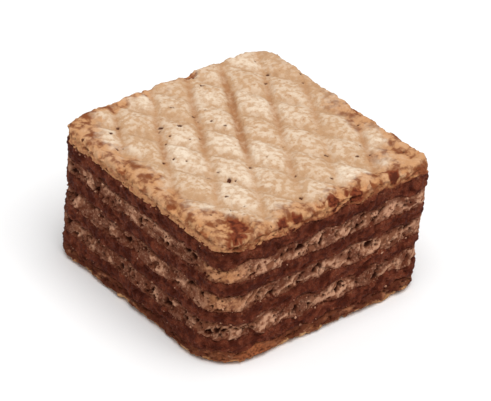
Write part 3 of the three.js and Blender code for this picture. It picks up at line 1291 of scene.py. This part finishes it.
# %% [markdown]
# ## The finish of the lattice
#
# The pads are pale where the plate pressed them flat, some greyer and some warmer, and speckled with
# brown. The thin grooves get painted shade in tan, and the deep ones are brown along their line. The rim
# and the cut edge are toasted, the cut edge with cocoa and painted shade over it, and burnt spots show
# red-brown. Where the crust is broken, the crumb below shows, and pinholes and pores get painted shade.
# Several materials could share the sheet face by face, but with hard borders. Coats of one material fade
# into each other.

# %% The face of the lattice
PAD_PALE = tint(232, 215, 193)
PAD_WARM = tint(192, 155, 120)
GROOVE_TAN = tint(184, 141, 102)
GROOVE_BROWN = tint(160, 109, 70)
THIN_GROOVE_SHADE = tint(180, 141, 105)
FLECK_BROWN = tint(160, 106, 68)


def lattice_colour(place, fine, mottle):
    """Pale pads with brown flecks, brown deep grooves and painted shade in the thin ones."""
    cloud = speckle(place, size=3.2)
    warmth = kept(place, "pad") * 0.45 + cloud.step(0.3, 0.7) * 0.4 + mottle.step(0.4, 0.62) * 0.5
    patches = mottle.step(0.25, 0.6)
    groove = kept(place, "groove")
    return paint(
        warmth.blend(PAD_PALE, PAD_WARM),
        (fine.step(0.56, 0.7) * mottle.step(0.4, 0.7) * 0.7, FLECK_BROWN),
        # Painted shade in the thin grooves.
        (kept(place, "thin").step(0.1, 0.9) * (patches * 0.4 + 0.35), THIN_GROOVE_SHADE),
        (groove.step(0.05, 0.8) * 0.6, GROOVE_TAN),
        (groove.step(0.5, 1.0) * (patches * 0.6 + 0.2), GROOVE_BROWN),
    )


print("the palest pad in a shader:", np.round(PAD_PALE, 3))

# %% Lattice crust
TOAST_GOLD = tint(196, 142, 96)
TOAST_BROWN = tint(128, 72, 40)
BITE_BROWN = tint(130, 70, 38)
EDGE_BROWN = tint(180, 120, 84)
BURN_RED = tint(124, 56, 32)
BURN_DARK = tint(84, 36, 20)
PIT_SHADE = tint(84, 44, 26)

material, place = new_finish("lattice_crust")
fine = speckle(place, size=0.22)
mottle = speckle(place, size=0.55, detail=4.0)
spots = speckle(place, size=0.9, detail=4.0)
broken = kept(place, "broken")
burn = kept(place, "burn")
rim = spots.step(0.42, 0.62).blend(TOAST_GOLD, TOAST_BROWN)
edge = paint(
    fine.step(0.38, 0.6).blend(EDGE_BROWN, TOAST_GOLD),
    # Cocoa and painted shade on the top sheet's cut edge, in red-brown.
    (kept(place, "rub_and_shade") * 0.75, BURN_RED),
    # Painted shade in the open pores of the cut edge.
    (kept(place, "hollow").step(0.1, 0.7), PIT_SHADE),
)
colour = paint(
    lattice_colour(place, fine, mottle),
    (kept(place, "toast") * (spots * 0.8 + 0.45), rim),
    (broken * 0.75, rim),
    (broken.step(0.4, 1.0) * spots.step(0.4, 0.6) * 0.8, BITE_BROWN),
    (kept(place, "cut"), edge),
    (burn.step(0.0, 0.5) * 0.8, TOAST_BROWN),
    (burn.step(0.25, 0.7) * (mottle.step(0.25, 0.55) * 0.4 + 0.6), BURN_RED),
    (burn.step(0.5, 0.95) * mottle.step(0.38, 0.58), BURN_DARK),
    # Painted shade in the pinholes.
    (kept(place, "pinhole").step(0.2, 0.8), PIT_SHADE),
)
crust_finish = finish_surface(material, colour, fine, smoothest=0.72, bump=0.08)

# %% [markdown]
# ## The finish of the underside
#
# The face that lay on the hot plate is golden brown and even, with slow clouds of darker toast. The cut
# edge has the colours of the other cut edges, darkened further by painted shade, and orange toast by the
# front corner. It could be a second material, but the skin ends in a ragged line, so the edge is one
# more coat.

# %% Golden underside
GOLDEN = tint(206, 160, 114)
GOLDEN_DARK = tint(182, 126, 80)
BASE_COCOA_AND_SHADE = tint(80, 32, 16)
BASE_TOAST = tint(152, 90, 54)
BASE_ORANGE = tint(168, 98, 60)

material, place = new_finish("golden_face")
fine = speckle(place, size=0.25)
cut, _ = cut_colour(place)
edge = paint(
    cut,
    # Painted shade, mixed with toast, darkens most of the bottom sheet's cut edge.
    (fine.step(0.2, 0.5) * 0.8, speckle(place, size=0.9).step(0.35, 0.65).blend(BASE_COCOA_AND_SHADE, BASE_TOAST)),
    # More cocoa and painted shade where more was rubbed on.
    (kept(place, "rub_and_shade") * 0.75, BASE_COCOA_AND_SHADE),
    (kept(place, "highlight_and_toast") * fine.step(0.3, 0.6), BASE_ORANGE),
)
colour = paint(
    speckle(place, size=4.0).step(0.35, 0.68).blend(GOLDEN, GOLDEN_DARK),
    (kept(place, "groove") * 0.5, GROOVE_BROWN),
    # Painted shade in the pinholes.
    (kept(place, "pinhole").step(0.2, 0.8), PIT_SHADE),
    (kept(place, "cut"), edge),
)
base_finish = finish_surface(material, colour, fine, smoothest=0.68, bump=0.05)

# %% [markdown]
# ## The finish of the crumbs
#
# Crumbs come from the skins and the foam, so they go from pale to brown. Each crumb could have a colour of
# its own, but one noise over all of them does as well: a crumb is coloured by where it sticks.

# %% Crumbs
material, place = new_finish("crumb")
colour = speckle(place, size=0.5, detail=1.0).step(0.4, 0.68).blend(COCOA_AND_SHADE, CUT_PALE)
crumb_finish = finish_surface(material, colour, speckle(place, size=0.2), smoothest=0.75, bump=0.05)

# %% [markdown]
# ## Dressing the frame
#
# Each layer now gets its finish, rides on the block's one body and stands for its layer of the packed
# model, which is hidden. All pieces could be joined into one, but kept apart, each can still be swapped or
# looked at by itself. The crumbs ride along and stand for nothing.

# %% Put the pieces on the body


def dress(piece, material, node=None):
    """Gives a piece its finish, sets it on the body and hides the layer of the packed model that it
    replaces.
    """
    piece.data.materials.clear()
    piece.data.materials.append(material)
    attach(piece, "root")
    if node:
        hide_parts(node)
    print(piece.name, "wears", material.name)


dress(top_sheet, crust_finish, layers[TOP_LAYER])
dress(base_sheet, base_finish, layers[0])
for layer, sheet in inner_wafers.items():
    dress(sheet, cut_finish, layers[layer])
for layer, cream in creams.items():
    dress(cream, cream_finish, layers[layer])
dress(crumbs, crumb_finish)

# %% [markdown]
# ## Floor and light
#
# The setting is plain: a wide white floor under one large, soft studio lamp, which hangs a little in front
# of the block, so the front side is lit more than the left one. A small lamp could hang in the same
# place, but its shadows would be hard. White surroundings fill the shadows.

# %% Set the floor and the lights
FLOOR_SIZE = 4.0
FLOOR_WHITE = (0.9, 0.9, 0.9, 1)
FLOOR_ROUGHNESS = 0.9
LAMP_PLACE = Vector((-0.03, -0.2, 0.66))
LAMP_SIZE = 0.6
LAMP_WATTS = 4.6
SKY_WHITE = (1, 1, 1, 1)
SKY_STRENGTH = 0.5

clear_selection()
bpy.ops.mesh.primitive_plane_add(size=FLOOR_SIZE, location=(0, 0, 0))
floor = bpy.context.object
floor.name = "floor"
floor_paint = bpy.data.materials.new("floor_white")
floor_paint.use_nodes = True
floor_sockets = floor_paint.node_tree.nodes["Principled BSDF"].inputs
floor_sockets["Base Color"].default_value = FLOOR_WHITE
floor_sockets["Roughness"].default_value = FLOOR_ROUGHNESS
floor.data.materials.append(floor_paint)
floor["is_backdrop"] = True

clear_selection()
bpy.ops.object.light_add(type="AREA", location=LAMP_PLACE)
lamp = bpy.context.object
lamp.data.size = LAMP_SIZE
lamp.data.energy = LAMP_WATTS
lamp.rotation_euler = LAMP_PLACE.to_track_quat("Z", "Y").to_euler()

sky = bpy.data.worlds.new("white_room")
sky.use_nodes = True
sky_sockets = sky.node_tree.nodes["Background"].inputs
sky_sockets["Strength"].default_value = SKY_STRENGTH
sky_sockets["Color"].default_value = SKY_WHITE
bpy.context.scene.world = sky
bpy.context.scene.view_settings.view_transform = "Standard"
print("the lamp hangs", round(LAMP_PLACE.length, 2), "m from the block")

# %% [markdown]
# ## The size of the block
#
# The dressed block is meant to keep the size of the imported model. Half a millimetre is hard to see in a
# picture, so both boxes are kept side by side and their sizes printed.

# %% Keep both boxes and print their sizes
visual_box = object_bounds()
sizes = {
    "cad": [list(corner) for corner in cad_box],
    "visual": [list(corner) for corner in visual_box],
}
print("packed size:", [round(side / MM, 2) for side in cad_box[1] - cad_box[0]], "mm")
print("dressed size:", [round(side / MM, 2) for side in visual_box[1] - visual_box[0]], "mm")
